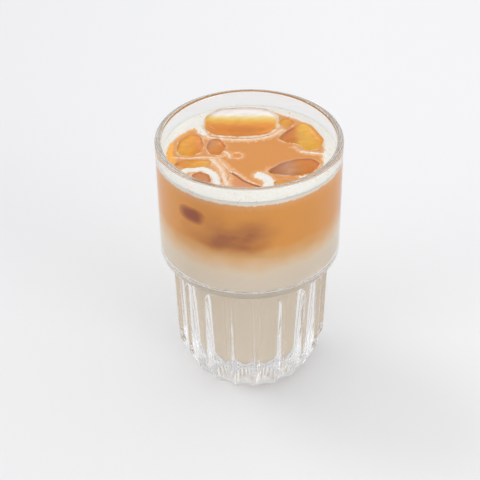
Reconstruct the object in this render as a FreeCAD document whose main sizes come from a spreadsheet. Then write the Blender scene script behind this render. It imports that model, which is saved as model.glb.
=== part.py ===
"""Iced latte in a stacking tumbler with a fluted foot, as a parametric FreeCAD document.

Millimetres, +Z up, origin at the centre of the foot. The tumbler is one pressed glass body: a smooth
upper band, a rounded shoulder, and below it a body and a heel cut by concave flutes. Inside, a ledge
lies behind the shoulder. Milk fills the lower part, coffee lies on it up to the drink's level, a foam
ring floats along the wall, and blocks of ice break the surface. The coffee and the foam are cut
exactly round the ice.
"""

import FreeCAD, Part

import Sketcher

import math
import os

# name of the cell: (value, what it measures)
SIZES = {
    # glass, outside
    "height": (126.0, "foot to rim"),
    "rim_radius": (42.5, "outside radius at the rim"),
    "lip_round": (1.3, "rounding of the lip, inside and outside"),
    "band_taper": (0.5, "how much narrower the band is at its lower end"),
    "band_bottom": (68.0, "height of the lower end of the band"),
    "shoulder_round": (5.0, "radius of the shoulder's curve"),
    "shoulder_step": (5.0, "how far the shoulder steps in"),
    "shoulder_drop": (4.0, "how far the shoulder reaches down"),
    "crease_round": (1.8, "rounding of the crease under the shoulder"),
    "body_taper": (1.5, "how much narrower the body is at the heel than under the shoulder"),
    "heel_level": (17.5, "height where the heel starts"),
    "heel_step": (8.8, "how far the heel curves in"),
    "heel_round": (36.2, "radius of the heel's curve"),
    "foot_ring": (6.7, "width of the ring that the glass stands on"),
    "dish_depth": (1.2, "depth of the dished underside"),
    # flutes
    "flute_count": (18, "number of flutes"),
    "flute_round": (6.4, "radius of a flute's hollow"),
    "flute_depth": (4.2, "depth of a flute, down to the heel"),
    "flute_foot_depth": (1.2, "depth of a flute at the foot"),
    "flute_top_gap": (1.5, "crease to the top of a flute's arch"),
    "flute_turn": (5.0, "turn of the flutes about the glass's axis"),
    # glass, inside
    "rim_wall": (3.0, "wall at the rim"),
    "band_wall": (3.0, "wall at the lower end of the band"),
    "waist_wall": (6.5, "wall at the crease under the shoulder"),
    "floor_wall": (10.5, "wall where the heel starts, out to the ridges between the flutes"),
    "ledge_rise": (3.0, "band's lower end to the outer edge of the ledge inside"),
    "ledge_round": (7.0, "radius of the ledge's hollow"),
    "waist_rise": (2.0, "crease to the inner edge of the ledge inside"),
    "floor_level": (13.0, "thickness of the base"),
    "floor_round": (6.5, "radius of the corner between floor and wall"),
    # drink
    "milk_level": (82.0, "top of the milk"),
    "rim_gap": (8.5, "drink's surface to the rim"),
    "foam_rise": (0.5, "how far the foam stands above the drink"),
    "foam_thickness": (2.2, "thickness of the foam ring"),
    "foam_width": (5.0, "mean width of the foam ring"),
    "foam_wave": (1.1, "how far the foam's inner edge swings"),
    # ice
    "ice_clearance": (1.5, "wall to the round room that the ice is laid out in"),
    "ice_edge_round": (2.4, "rounding of the ice blocks' top and bottom edges"),
}

# Cells that follow from the sizes above.
FOLLOWING = {
    "band_radius": "rim_radius - band_taper",
    "crease_radius": "band_radius - shoulder_step",
    "crease_level": "band_bottom - shoulder_drop",
    "heel_radius": "crease_radius - body_taper",
    "foot_radius": "heel_radius - heel_step",
    "dish_radius": "foot_radius - foot_ring",
    "cavity_top_radius": "rim_radius - rim_wall",
    "ledge_top_radius": "band_radius - band_wall",
    "ledge_top": "band_bottom + ledge_rise",
    "waist_radius": "crease_radius - waist_wall",
    "waist_level": "crease_level + waist_rise",
    "floor_radius": "heel_radius - floor_wall",
    "drink_level": "height - rim_gap",
    "foam_top": "drink_level + foam_rise",
    "foam_bottom": "foam_top - foam_thickness",
    "ice_room": "cavity_top_radius - ice_clearance",
}

# Ice that breaks the surface. Centre x and y, length, width and the rounding of the upright edges are
# shares of the round room that the glass leaves; height and the rise of the top above the drink are
# millimetres; turn about Z and lean about the block's own length are degrees.
ICE_SHARES = ("x", "y", "long", "wide", "round")
ICE_MEASURES = ICE_SHARES + ("tall", "proud", "turn", "lean")
ICE = {
    "ice_back": (-0.105, 0.658, 0.868, 0.566, 0.224, 24.0, 3.0, 0.0, -3.0),
    "ice_right": (0.637, 0.332, 0.500, 0.447, 0.118, 20.0, 1.6, 49.0, 3.0),
    "ice_front_right": (0.521, -0.326, 0.632, 0.303, 0.132, 18.0, 1.0, 17.0, 4.0),
    "ice_left": (-0.700, 0.147, 0.342, 0.474, 0.153, 18.0, 1.2, -6.0, -3.0),
    "ice_left_inner": (-0.368, 0.116, 0.253, 0.368, 0.116, 15.0, 1.0, 4.0, 3.0),
    "ice_left_strip": (-0.668, -0.261, 0.434, 0.211, 0.095, 14.0, 0.7, -4.0, 2.0),
    "ice_front_left": (-0.542, -0.563, 0.263, 0.276, 0.111, 13.0, 0.9, 30.0, 4.0),
    "ice_back_small": (0.458, 0.711, 0.174, 0.174, 0.074, 10.0, 0.8, 12.0, -4.0),
    "ice_front_small": (0.421, -0.674, 0.316, 0.184, 0.084, 12.0, 0.6, 8.0, 3.0),
}
# Most that an edge's rounding may take of the upright rounding beside it, and a lip of half its wall.
ROUND_LIMIT = 0.88

# The foam's inner edge: how many swings go round the ring, their share and where each starts (degrees).
FOAM_SWINGS = ((2, 0.6, 40.0), (3, 0.9, 200.0), (5, 0.6, 75.0), (9, 0.35, 10.0))
FOAM_EDGE_POINTS = 72
MARGIN = 5.0
TINY = 1e-6

doc = FreeCAD.newDocument("IcedLatte")
sheet = doc.addObject("Spreadsheet::Sheet", "Sizes")


def fill_sheet():
    """Write every size into the sheet as a named cell, the following ones as formulas."""
    rows = [(name, value, note) for name, (value, note) in SIZES.items()]
    rows += [(name, "=" + formula, "follows") for name, formula in FOLLOWING.items()]
    for block, values in ICE.items():
        for measure, value in zip(ICE_MEASURES, values):
            rows.append(("%s_%s" % (block, measure), value, "%s: %s" % (block, measure)))
    for number, (name, value, note) in enumerate(rows, start=1):
        sheet.set("A%d" % number, name)
        sheet.set("B%d" % number, str(value))
        sheet.setAlias("B%d" % number, name)
        sheet.set("C%d" % number, note)
    doc.recompute()


def size(name):
    """Value of one named cell."""
    return float(sheet.get(name))


def total(*terms):
    """Sum of named cells as (number, expression); a leading minus subtracts the cell."""
    number = 0.0
    words = []
    for term in terms:
        sign = -1.0 if term.startswith("-") else 1.0
        name = term.lstrip("-")
        number += sign * size(name)
        words.append("%s Sizes.%s" % ("-" if sign < 0 else "+", name))
    return number, " ".join(words).lstrip("+ ")


def bind(item, prop, expression):
    """Tie one property to the sheet."""
    item.setExpression(prop, expression)


def origin_feature(body, role):
    """A plane or an axis of the body's own origin."""
    return next(f for f in body.Origin.OriginFeatures if f.Role == role)


def new_body(name):
    """An empty body."""
    body = doc.addObject("PartDesign::Body", name)
    body.Label = name
    return body


def new_sketch(body, name, plane):
    """A sketch on one of the body's origin planes."""
    sketch = body.newObject("Sketcher::SketchObject", name)
    sketch.AttachmentSupport = [(origin_feature(body, plane), "")]
    sketch.MapMode = "FlatFace"
    return sketch


def vector(point):
    """Point of a sketch from a pair of numbers."""
    return FreeCAD.Vector(point[0], point[1], 0.0)


def bulged(start, end, radius, side):
    """Middle point of the arc with this radius; side 1 bulges to the left of start to end."""
    dx = end[0] - start[0]
    dy = end[1] - start[1]
    chord = math.hypot(dx, dy)
    sagitta = radius - math.sqrt(radius * radius - chord * chord / 4.0)
    nx = -dy / chord * side
    ny = dx / chord * side
    return ((start[0] + end[0]) / 2.0 + nx * sagitta, (start[1] + end[1]) / 2.0 + ny * sagitta)


def place_end(sketch, geometry, end, corner):
    """Hold one end of a sketch line at a corner whose two places are bound to the sheet."""
    for kind, on_axis, (number, expression) in (
        ("DistanceX", -2, corner[0]),
        ("DistanceY", -1, corner[1]),
    ):
        if not expression:
            sketch.addConstraint(Sketcher.Constraint("PointOnObject", geometry, end, on_axis))
            continue
        index = sketch.addConstraint(Sketcher.Constraint(kind, -1, 1, geometry, end, number))
        bind(sketch, "Constraints[%d]" % index, expression)


def nearest_end(sketch, geometry, point):
    """1 for the start and 2 for the end of a sketch curve, whichever lies at the point."""
    curve = sketch.Geometry[geometry]
    start = (curve.StartPoint - vector(point)).Length
    end = (curve.EndPoint - vector(point)).Length
    return 1 if start < end else 2


def trace(sketch, corners, arcs):
    """Closed outline through the corners; arcs maps a side's number to (radius cell, bulge side)."""
    count = len(corners)
    spots = [(corner[0][0], corner[1][0]) for corner in corners]
    ends = []
    for number in range(count):
        start = spots[number]
        end = spots[(number + 1) % count]
        if number in arcs:
            cell, side = arcs[number]
            middle = bulged(start, end, size(cell), side)
            curve = Part.Arc(vector(start), vector(middle), vector(end))
        else:
            curve = Part.LineSegment(vector(start), vector(end))
        geometry = sketch.addGeometry(curve, False)
        ends.append((nearest_end(sketch, geometry, start), nearest_end(sketch, geometry, end)))
    for number in range(count):
        following = (number + 1) % count
        pair = (number, ends[number][1], following, ends[following][0])
        sketch.addConstraint(Sketcher.Constraint("Coincident", *pair))
    for number in range(count):
        place_end(sketch, number, ends[number][0], corners[number])
    for number, (cell, side) in arcs.items():
        index = sketch.addConstraint(Sketcher.Constraint("Radius", number, size(cell)))
        bind(sketch, "Constraints[%d]" % index, "Sizes.%s" % cell)


def turn_profile(body, kind, name, sketch, axis):
    """Full turn of a sketch about one of its own axes, adding or cutting."""
    feature = body.newObject(kind, name)
    feature.Profile = sketch
    feature.ReferenceAxis = (sketch, [axis])
    feature.Angle = 360.0
    sketch.Visibility = False
    return feature


def cavity_corners():
    """Half outline of the hollow, from the floor's centre round to the rim's plane."""
    zero = (0.0, "")
    return [
        (zero, total("floor_level")),
        (total("floor_radius", "-floor_round"), total("floor_level")),
        (total("floor_radius"), total("floor_level", "floor_round")),
        (total("waist_radius"), total("waist_level")),
        (total("ledge_top_radius"), total("ledge_top")),
        (total("cavity_top_radius"), total("height")),
        (zero, total("height")),
    ]


CAVITY_ARCS = {1: ("floor_round", -1), 3: ("ledge_round", -1)}


def make_hollow():
    """The space inside the glass, as a solid that the drink's layers are cut from."""
    body = new_body("hollow")
    sketch = new_sketch(body, "HollowOutline", "XZ_Plane")
    trace(sketch, cavity_corners(), CAVITY_ARCS)
    turn_profile(body, "PartDesign::Revolution", "HollowTurn", sketch, "V_Axis")
    return body


def flute_sketch(body, name, lower, upper, lower_depth, domed):
    """Half outline of one flute's cutter: a cylinder beside the straight line from lower to upper.

    The cutter's deepest line lies lower_depth inside the lower corner and the flute's depth inside the
    upper one. A domed cutter ends in an arch under the upper corner, a plain one passes it.
    """
    sketch = new_sketch(body, name, "XZ_Plane")
    foot = (lower[0][0], lower[1][0])
    head = (upper[0][0], upper[1][0])
    length = math.dist(foot, head)
    along = ((head[0] - foot[0]) / length, (head[1] - foot[1]) / length)
    out = (along[1], -along[0])
    reach = size("flute_round")
    depth = size("flute_depth")
    arch = math.sqrt(2.0 * reach * depth - depth * depth) + size("flute_top_gap")
    overrun = -MARGIN / 2.0

    def spot(down, side):
        """Point this far down the line from its upper end, and this far out of it."""
        return (head[0] - along[0] * down + out[0] * side, head[1] - along[1] * down + out[1] * side)

    top_down = arch if domed else overrun
    low_down = length + MARGIN
    axis_high = spot(top_down - (reach if domed else 0.0), reach - depth)
    axis_low = spot(low_down, reach - depth)
    flank_high = spot(top_down, -depth)
    flank_low = spot(low_down, -depth)
    line = Part.LineSegment
    axis = sketch.addGeometry(line(vector(axis_low), vector(axis_high)), True)
    side = sketch.addGeometry(line(vector(foot), vector(head)), True)
    for end, corner in ((1, lower), (2, upper)):
        place_end(sketch, side, end, corner)
    flank = sketch.addGeometry(line(vector(flank_high), vector(flank_low)), False)
    bottom = sketch.addGeometry(line(vector(flank_low), vector(axis_low)), False)
    spine = sketch.addGeometry(line(vector(axis_low), vector(axis_high)), False)
    if domed:
        slope = reach * math.sqrt(0.5)
        middle = spot(top_down - slope, reach - depth - slope)
        top = sketch.addGeometry(Part.Arc(vector(axis_high), vector(middle), vector(flank_high)), False)
    else:
        top = sketch.addGeometry(line(vector(axis_high), vector(flank_high)), False)
    top_start = nearest_end(sketch, top, axis_high)
    top_end = nearest_end(sketch, top, flank_high)
    rule = Sketcher.Constraint
    for pair in (
        (flank, 2, bottom, 1),
        (bottom, 2, spine, 1),
        (spine, 2, top, top_start),
        (axis, 1, spine, 1),
        (axis, 2, spine, 2),
    ):
        sketch.addConstraint(rule("Coincident", *pair))
    joint = "Tangent" if domed else "Coincident"
    sketch.addConstraint(rule(joint, top, top_end, flank, 1))
    sketch.addConstraint(rule("Parallel", flank, spine))
    sketch.addConstraint(rule("Perpendicular", bottom, spine))
    distances = [
        (("Distance", side, 2, flank, depth), "Sizes.flute_depth"),
        (("Distance", side, 1, flank, size(lower_depth)), "Sizes." + lower_depth),
        (("Distance", axis, 1, flank, reach), "Sizes.flute_round"),
    ]
    for values, expression in distances:
        index = sketch.addConstraint(rule(*values))
        bind(sketch, "Constraints[%d]" % index, expression)
    sketch.addConstraint(rule("DistanceY", -1, 1, axis, 1, axis_low[1]))
    if domed:
        sketch.addConstraint(rule("PointOnObject", top, 3, spine))
        centre_level = sketch.getPoint(top, 3).y
        index = sketch.addConstraint(rule("DistanceY", -1, 1, top, 3, centre_level))
        half_width = "sqrt(2 * Sizes.flute_round * Sizes.flute_depth - Sizes.flute_depth ^ 2)"
        centre = "Sizes.crease_level - Sizes.flute_top_gap - " + half_width
        bind(sketch, "Constraints[%d]" % index, centre)
    else:
        sketch.addConstraint(rule("Perpendicular", top, spine))
        sketch.addConstraint(rule("DistanceY", -1, 1, axis, 2, axis_high[1]))
    return sketch


def level_edges(shape, level):
    """Names of the edges that lie wholly at one height."""
    names = []
    for number, edge in enumerate(shape.Edges, start=1):
        box = edge.BoundBox
        if abs(box.ZMin - level) < TINY and abs(box.ZMax - level) < TINY:
            names.append("Edge%d" % number)
    return names


def upright_edges(shape):
    """Names of the straight edges that stand along Z."""
    names = []
    for number, edge in enumerate(shape.Edges, start=1):
        box = edge.BoundBox
        if box.XLength < TINY and box.YLength < TINY and box.ZLength > TINY:
            names.append("Edge%d" % number)
    return names


def fillet(body, name, base, edges, expression):
    """Round edges of the body's last feature with a radius from the sheet."""
    feature = body.newObject("PartDesign::Fillet", name)
    feature.Base = (base, edges)
    bind(feature, "Radius", expression)
    body.Tip = feature
    doc.recompute()
    return feature


def make_glass():
    """The tumbler: turned outside, turned hollow, round lip, flutes down the body and the heel."""
    body = new_body("glass")
    zero = (0.0, "")
    foot = (total("foot_radius"), zero)
    heel = (total("heel_radius"), total("heel_level"))
    crease = (total("crease_radius"), total("crease_level"))
    outside = new_sketch(body, "Outside", "XZ_Plane")
    corners = [
        (zero, total("dish_depth")),
        (total("dish_radius"), zero),
        foot,
        heel,
        crease,
        (total("band_radius"), total("band_bottom")),
        (total("rim_radius"), total("height")),
        (zero, total("height")),
    ]
    trace(outside, corners, {2: ("heel_round", -1), 4: ("shoulder_round", -1)})
    turn_profile(body, "PartDesign::Revolution", "Turned", outside, "V_Axis")
    inside = new_sketch(body, "Inside", "XZ_Plane")
    trace(inside, cavity_corners(), CAVITY_ARCS)
    hollowed = turn_profile(body, "PartDesign::Groove", "Hollowed", inside, "V_Axis")
    doc.recompute()
    lip = "min(Sizes.lip_round; Sizes.rim_wall / 2 * %s)" % ROUND_LIMIT
    rounded = fillet(body, "Lip", hollowed, level_edges(hollowed.Shape, size("height")), lip)
    crease_edges = level_edges(rounded.Shape, size("crease_level"))
    fillet(body, "Crease", rounded, crease_edges, "Sizes.crease_round")
    side = flute_sketch(body, "SideFlute", heel, crease, "flute_depth", True)
    side_cut = turn_profile(body, "PartDesign::Groove", "SideFluteCut", side, "Axis0")
    lower = flute_sketch(body, "HeelFlute", foot, heel, "flute_foot_depth", False)
    heel_cut = turn_profile(body, "PartDesign::Groove", "HeelFluteCut", lower, "Axis0")
    doc.recompute()
    flutes = body.newObject("PartDesign::PolarPattern", "Flutes")
    flutes.Originals = [side_cut, heel_cut]
    flutes.Axis = (origin_feature(body, "Z_Axis"), [""])
    flutes.Angle = 360.0
    bind(flutes, "Occurrences", "Sizes.flute_count")
    body.Tip = flutes
    bind(body, "Placement.Rotation.Angle", "Sizes.flute_turn")
    return body


def ice_size(name, measure):
    """One measure of a block as (number, expression), in millimetres or degrees."""
    cell = "%s_%s" % (name, measure)
    if measure in ICE_SHARES:
        return size(cell) * size("ice_room"), "Sizes.%s * Sizes.ice_room" % cell
    return size(cell), "Sizes." + cell


def make_ice(name):
    """One block of ice: a rounded rectangle's pad hanging from its top face, turned and leaned."""
    body = new_body(name)
    plan = new_sketch(body, name + "_plan", "XY_Plane")
    half_x = ice_size(name, "long")[0] / 2.0
    half_y = ice_size(name, "wide")[0] / 2.0
    spots = [(-half_x, -half_y), (half_x, -half_y), (half_x, half_y), (-half_x, half_y)]
    rule = Sketcher.Constraint
    for number, start in enumerate(spots):
        end = spots[(number + 1) % 4]
        plan.addGeometry(Part.LineSegment(vector(start), vector(end)), False)
    for number in range(4):
        plan.addConstraint(rule("Coincident", number, 2, (number + 1) % 4, 1))
        plan.addConstraint(rule("Vertical" if number % 2 else "Horizontal", number))
    plan.addConstraint(rule("Symmetric", 0, 1, 2, 1, -1, 1))
    for kind, side, measure in (("DistanceX", 0, "long"), ("DistanceY", 1, "wide")):
        number, expression = ice_size(name, measure)
        index = plan.addConstraint(rule(kind, side, 1, side, 2, number))
        bind(plan, "Constraints[%d]" % index, expression)
    block = body.newObject("PartDesign::Pad", name + "_block")
    block.Profile = plan
    block.Reversed = True
    bind(block, "Length", "Sizes." + name + "_tall")
    plan.Visibility = False
    doc.recompute()
    corner = ice_size(name, "round")[1]
    upright = fillet(body, name + "_upright", block, upright_edges(block.Shape), corner)
    rims = level_edges(upright.Shape, 0.0) + level_edges(upright.Shape, -size(name + "_tall"))
    edge = "min(Sizes.ice_edge_round; %s * %s)" % (corner, ROUND_LIMIT)
    fillet(body, name + "_rims", upright, rims, edge)
    bind(body, "Placement.Base.x", ice_size(name, "x")[1])
    bind(body, "Placement.Base.y", ice_size(name, "y")[1])
    bind(body, "Placement.Base.z", "Sizes.drink_level + Sizes.%s_proud" % name)
    bind(body, "Placement.Rotation.Yaw", "Sizes.%s_turn" % name)
    bind(body, "Placement.Rotation.Roll", "Sizes.%s_lean" % name)
    return body


def make_zone(name, low, high):
    """A disc wider than the glass between two levels, which picks out one layer of the drink."""
    zone = doc.addObject("Part::Cylinder", name)
    bind(zone, "Radius", "Sizes.rim_radius")
    bind(zone, "Height", "Sizes.%s - Sizes.%s" % (high, low))
    bind(zone, "Placement.Base.z", "Sizes." + low)
    return zone


def foam_ring():
    """A flat ring whose inner edge swings in and out round the glass."""
    mean = size("cavity_top_radius") - size("foam_width")
    points = []
    for step in range(FOAM_EDGE_POINTS):
        angle = 2.0 * math.pi * step / FOAM_EDGE_POINTS
        swing = 0.0
        for count, share, start in FOAM_SWINGS:
            swing += share * math.cos(count * angle + math.radians(start))
        radius = mean + size("foam_wave") * swing
        points.append(FreeCAD.Vector(radius * math.cos(angle), radius * math.sin(angle), 0.0))
    edge = Part.BSplineCurve()
    edge.interpolate(points, PeriodicFlag=True)
    inner = Part.Face(Part.Wire(edge.toShape()))
    outer = Part.Face(Part.Wire(Part.makeCircle(size("rim_radius"))))
    ring = doc.addObject("Part::Feature", "foam_ring")
    thickness = size("foam_top") - size("foam_bottom")
    ring.Shape = outer.cut(inner).extrude(FreeCAD.Vector(0, 0, thickness))
    ring.Placement = FreeCAD.Placement(FreeCAD.Vector(0, 0, size("foam_bottom")), FreeCAD.Rotation())
    return ring


def combine(kind, name, base, tool):
    """A boolean of two shapes."""
    result = doc.addObject(kind, name)
    result.Base = base
    result.Tool = tool
    result.Label = name
    return result


def fuse(name, shapes):
    """Several shapes as one tool."""
    group = doc.addObject("Part::MultiFuse", name)
    group.Shapes = shapes
    return group


def make_drink(hollow, blocks):
    """Milk, coffee and foam: each the hollow between two levels, cut round the ice."""
    milk_zone = make_zone("milk_zone", "floor_level", "milk_level")
    layer = combine("Part::Common", "milk_layer", hollow, milk_zone)
    milk = combine("Part::Cut", "milk", layer, fuse("ice_in_milk", blocks))
    ring = combine("Part::Common", "ring_in_glass", hollow, foam_ring())
    foam = combine("Part::Cut", "foam", ring, fuse("ice_in_foam", blocks))
    coffee_zone = make_zone("coffee_zone", "milk_level", "drink_level")
    layer = combine("Part::Common", "coffee_layer", hollow, coffee_zone)
    coffee = combine("Part::Cut", "coffee", layer, fuse("set_in_coffee", blocks + [ring]))
    return [milk, coffee, foam]


def check(nodes):
    """Stop if any object failed or any node is not one valid solid."""
    for item in doc.Objects:
        if "Invalid" in item.State or "Error" in item.State:
            raise RuntimeError("%s failed: %s" % (item.Name, item.State))
    for node in nodes:
        shape = node.Shape
        if shape.isNull() or not shape.isValid() or len(shape.Solids) != 1:
            raise RuntimeError("%s is not one valid solid" % node.Label)


def main():
    """Build the document, check it and write one STEP file for each node."""
    fill_sheet()
    glass = make_glass()
    hollow = make_hollow()
    blocks = [make_ice(name) for name in ICE]
    doc.recompute()
    nodes = [glass] + make_drink(hollow, blocks) + blocks
    doc.recompute()
    check(nodes)
    os.makedirs("parts", exist_ok=True)
    for node in nodes:
        node.Shape.exportStep("parts/%s.step" % node.Label)
        print("%-18s %9.2f cm3" % (node.Label, node.Shape.Volume / 1000.0))


main()
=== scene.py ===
"""Iced latte in a fluted tumbler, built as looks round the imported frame.

Laid out as a Blender add-on and run as a script. The frame is in metres, +Z up, origin at the centre of
the foot; sizes here are in millimetres unless they say otherwise, and plain_piece turns points into metres.
The tumbler, the two layers of the drink, the foam and the ice stand for the frame's nodes of the same names.
"""

import math

import bpy
import numpy as np
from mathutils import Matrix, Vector


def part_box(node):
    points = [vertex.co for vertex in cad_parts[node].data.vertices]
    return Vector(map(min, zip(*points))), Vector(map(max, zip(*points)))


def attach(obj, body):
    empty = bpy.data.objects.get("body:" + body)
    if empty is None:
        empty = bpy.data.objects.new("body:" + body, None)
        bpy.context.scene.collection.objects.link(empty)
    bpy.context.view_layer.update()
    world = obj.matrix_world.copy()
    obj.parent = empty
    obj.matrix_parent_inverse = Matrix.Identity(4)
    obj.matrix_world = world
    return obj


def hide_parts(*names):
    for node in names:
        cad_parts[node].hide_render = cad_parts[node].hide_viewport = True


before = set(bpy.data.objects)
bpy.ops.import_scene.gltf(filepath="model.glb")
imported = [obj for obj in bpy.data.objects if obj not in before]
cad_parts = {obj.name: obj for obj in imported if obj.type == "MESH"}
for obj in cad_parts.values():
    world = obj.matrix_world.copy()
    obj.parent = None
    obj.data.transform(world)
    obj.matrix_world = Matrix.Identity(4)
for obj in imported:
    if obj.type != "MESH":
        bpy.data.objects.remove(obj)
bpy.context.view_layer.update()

bl_info = {
    "name": "Iced Latte",
    "version": (1, 0, 0),
    "blender": (4, 5, 0),
    "location": "3D View > Sidebar > Latte",
    "description": "Builds an iced latte in a fluted tumbler round the packed frame",
    "category": "Object",
}

MM = 0.001
TAU = 2.0 * math.pi
WHITE = (1.0, 1.0, 1.0, 1.0)
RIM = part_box("glass")[1][0] / MM
GLASS_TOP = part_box("glass")[1][2] / MM
FLOOR_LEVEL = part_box("milk")[0][2] / MM
MILK_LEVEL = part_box("milk")[1][2] / MM
DRINK_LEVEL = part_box("coffee")[1][2] / MM
DRINK_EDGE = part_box("coffee")[1][0] / MM
FOAM_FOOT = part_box("foam")[0][2] / MM
# heights less than this apart are one height
SAME = 1e-4

# Turned outline of the tumbler: corners as (radius, height), radii of its rounded stretches, the wall's
# thickness at the rim and how far the flutes end below the crease.
DISH = ((0.0, 1.2), (7.0, 0.8), (14.0, 0.4), (20.0, 0.0), (23.0, 0.0))
FOOT = (26.7, 0.0)
HEEL = (35.5, 17.5)
CREASE = (37.0, 64.0)
BAND = (42.0, 68.0)
HEEL_ROUND = 36.2
SHOULDER_ROUND = 5.0
CREASE_ROUND = 1.8
FLUTE_TOP_GAP = 1.5
LIP_ROUND = 1.3
RIM_WALL = 3.0
LEDGE = (39.0, 71.0)
LEDGE_ROUND = 7.0
WAIST = (30.5, 66.0)
FLOOR_RADIUS = 25.0
FLOOR_ROUND = 6.5

# How finely the pieces are divided: steps round each of them, rows up the coffee's wall, the distance
# between rings of its surface, and how many rings at its middle have no foam.
STEPS_PER_FLUTE = 26
MILK_STEPS = 240
SURFACE_STEPS = 480
ICE_STEPS = 96
SUNK_ICE_STEPS = 64
WALL_ROWS = 24
RING_SPACING = 0.46
BARE_RINGS = 6

# Roughness of the glass by height: the stippled foot, the pressed body and crease, the polished band.
GLASS_ROUGHNESS = ((1.6, 0.25), (2.2, 0.04), (50.0, 0.04), (58.0, 0.08), (67.0, 0.08), (75.0, 0.0))

# Heights at which the drink has each colour, on a scale that runs between the two heights of the fade.
FADE = (60.0, 122.0)
LAYERS = ((76.0, "milk"), (80.5, "cream"), (85.0, "light_tan"), (89.0, "tan"), (94.0, "caramel"),
          (110.0, "caramel"), (116.0, "amber"))

# Tongues of stronger coffee round the wall: how many, their turn in degrees, the heights between which
# they reach and their strength along that reach from bottom to top.
TONGUES = 3
TONGUE_TURN = 104.0
TONGUE_REACH = (86.0, 112.0)
TONGUE_STRENGTH = ((0.06, 0.0), (0.3, 1.0), (0.5, 0.9), (1.0, 0.15))

# Ice at the surface: corners of its outline, rise above the drink, depth of the hollow that shows through
# it, share of that depth at its back edge where it isn't the usual 0.7, width of the foam round it, and
# the hollow's colours along a heading in degrees, which is 0 towards +X and -90 from back to front.
# These colours are painted light: a painted glow of light through the ice and the thin coffee under it,
# paler and darker across each block.
ICE = {
    "ice_back": dict(
        outline=((-20.9, 28.0), (-20.4, 20.0), (-15.5, 14.8), (-3.0, 13.6), (7.0, 15.2), (11.8, 20.6),
                 (12.3, 29.5), (8.5, 34.6), (-2.0, 36.2), (-15.0, 34.6)),
        rise=3.0, depth=3.4, back=0.15, foam=2.3, heading=-90.0,
        tones=((0.00, "FFFFFF"), (0.22, "FFFDF8"), (0.32, "FBE28C"), (0.43, "FBC148"), (0.56, "F29C37"),
               (0.72, "DC8030"), (0.86, "CC6C2D"), (1.0, "E0983E")),
    ),
    "ice_back_small": dict(
        outline=((13.6, 25.6), (15.4, 29.0), (18.8, 28.6), (20.9, 25.6), (19.2, 22.4), (15.2, 22.2)),
        rise=0.8, depth=1.6, foam=0.4, heading=0.0,
        tones=((0.0, "FAC44C"), (0.5, "F6AE3C"), (1.0, "EE9C3A")),
    ),
    "ice_right": dict(
        outline=((13.4, 11.4), (18.4, 18.8), (24.3, 24.6), (28.6, 21.8), (31.6, 15.2), (34.0, 9.4),
                 (31.7, 4.0), (26.4, 1.6), (21.9, 7.0), (17.0, 8.6)),
        rise=1.6, depth=2.2, foam=0.8, heading=8.0,
        tones=((0.0, "E2A05D"), (0.2, "DC883E"), (0.36, "E08A32"), (0.52, "F7BC4A"), (0.70, "FCC241"),
               (1.0, "F4A437")),
    ),
    "ice_front_right": dict(
        outline=((8.2, -15.6), (14.0, -9.6), (21.0, -6.0), (27.8, -5.6), (31.6, -9.6), (27.6, -16.6),
                 (20.6, -18.8), (13.4, -17.9)),
        rise=1.0, depth=2.2, foam=0.5, heading=14.0,
        tones=((0.0, "C88445"), (0.22, "CC8A5C"), (0.42, "DA9E78"), (0.56, "D88F45"), (0.70, "E08A2D"),
               (0.88, "E0862B"), (1.0, "E08430")),
    ),
    "ice_left": dict(
        outline=((-33.0, 2.0), (-32.0, 9.0), (-27.6, 14.6), (-22.6, 13.2), (-20.9, 6.5), (-21.9, 0.2),
                 (-26.2, -2.8), (-31.0, -2.4)),
        rise=1.2, depth=2.0, foam=0.5, heading=0.0,
        tones=((0.0, "FCBE45"), (0.5, "FAAE37"), (0.8, "F29C3A"), (1.0, "E8A06E")),
    ),
    "ice_left_inner": dict(
        outline=((-19.6, 3.7), (-18.2, 9.8), (-14.2, 11.0), (-10.8, 4.8), (-13.4, -2.0), (-17.6, -1.4)),
        rise=1.0, depth=1.8, foam=0.5, heading=-20.0,
        tones=((0.0, "DE9E72"), (0.35, "E69C4F"), (0.7, "EE9637"), (1.0, "DC8230")),
    ),
    "ice_left_strip": dict(
        outline=((-33.6, -10.2), (-29.2, -6.8), (-22.6, -6.2), (-17.2, -7.0), (-18.4, -11.2), (-25.8, -13.4)),
        rise=0.7, depth=1.6, foam=0.4, heading=0.0,
        tones=((0.0, "EE9E41"), (0.5, "F8AE37"), (1.0, "F6BE5D")),
    ),
    "ice_front_left": dict(
        outline=((-25.3, -18.6), (-22.0, -16.4), (-17.8, -18.6), (-16.6, -23.4), (-19.6, -26.3),
                 (-24.2, -24.6)),
        rise=0.9, depth=1.8, foam=1.2, heading=-90.0,
        tones=((0.0, "DC8E4F"), (1.0, "E8A05D")),
    ),
    "ice_front_small": dict(
        outline=((10.8, -24.4), (13.4, -22.4), (18.6, -22.6), (21.8, -25.0), (17.6, -28.6), (12.2, -28.4)),
        rise=0.6, depth=1.4, foam=0.4, heading=0.0,
        tones=((0.0, "F6B853"), (1.0, "EEA447")),
    ),
}

# Inner edge of the foam along the wall: degrees from +X towards +Y, and radius.
FOAM_EDGE = (
    (0, 33.4), (8, 34.0), (18, 34.8), (33, 35.6), (49, 35.4), (62, 35.0), (75, 36.6), (90, 37.4), (108, 36.4),
    (118, 33.6), (132, 31.6), (148, 33.4), (163, 35.6), (176, 36.9), (188, 37.2), (198, 35.9), (210, 35.0),
    (225, 33.6), (240, 31.6), (255, 31.0), (270, 31.2), (285, 31.0), (300, 31.6), (315, 32.6), (330, 33.8),
    (343, 34.2), (353, 33.0),
)

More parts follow.
